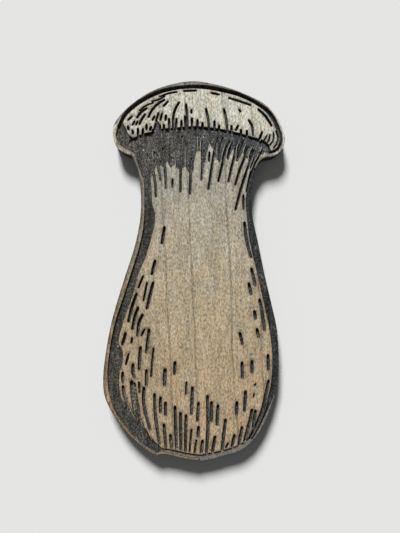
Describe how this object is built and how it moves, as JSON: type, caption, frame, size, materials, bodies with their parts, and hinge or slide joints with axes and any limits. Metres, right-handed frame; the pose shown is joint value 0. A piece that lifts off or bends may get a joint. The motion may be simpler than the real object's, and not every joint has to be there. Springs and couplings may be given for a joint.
{
  "type": "engraved wooden mushroom cut-out",
  "caption": "Flat wooden cut-out of a fat-stemmed mushroom, laser-engraved on one face with cap, gills and shading strokes; a craft or decoration blank.",
  "frame": {"origin": "centre of the outline's bounding box, on the flat back face", "axes": "+Y runs from the foot of the stem to the top of the cap, +Z comes out of the engraved face, and +X is to the right when looking at the engraved face with the cap up"},
  "size_m": [0.0364, 0.076, 0.0032],
  "materials": {
    "engraved_maple": "unfinished fine-grained pale maple, with burnt engraving and charred cut edges"
  },
  "bodies": {
    "root": {"engraved_mushroom_board": "engraved_maple"}
  },
  "joints": []
}
